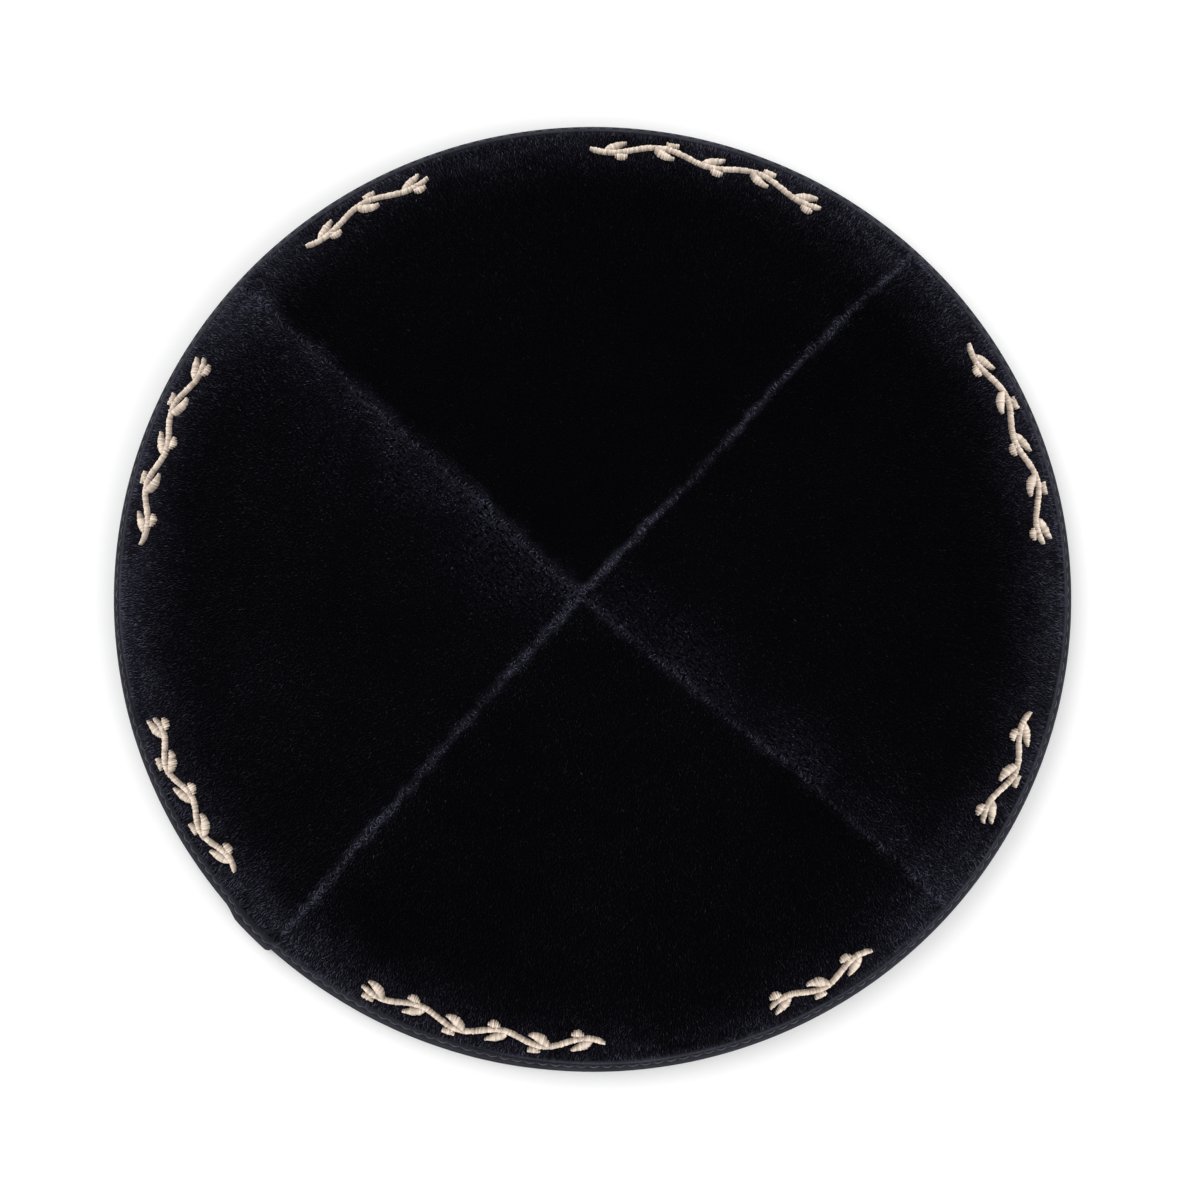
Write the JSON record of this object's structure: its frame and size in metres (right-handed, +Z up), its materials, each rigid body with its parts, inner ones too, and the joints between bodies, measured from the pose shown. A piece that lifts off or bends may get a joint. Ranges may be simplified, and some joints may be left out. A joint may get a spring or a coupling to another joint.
{
  "type": "kippah skullcap",
  "caption": "Shallow domed skullcap of sewn velvet panels that meet at the crown, with a ribbon binding folded over its round rim and an embroidered border inside it.",
  "frame": {"origin": "middle of the rim on the table plane that the cap rests on", "axes": "+Z up through the crown, -Y to the cap's softer front side, +X to the right"},
  "size_m": [0.1798, 0.178, 0.0495],
  "materials": {
    "velvet": "black cut-pile velvet with a faint blue cast, fine rows of pile, soft sheen towards the rim and along the seams",
    "binding_ribbon": "charcoal ribbon with fine lengthwise ribs and a row of small machine stitches along its edge",
    "embroidery_thread": "pale gold rayon thread in raised satin stitch with a silky sheen"
  },
  "bodies": {
    "root": {"velvet_panel_front": "velvet", "velvet_panel_right": "velvet", "velvet_panel_back": "velvet", "velvet_panel_left": "velvet", "rim_binding": "binding_ribbon"}
  },
  "joints": []
}
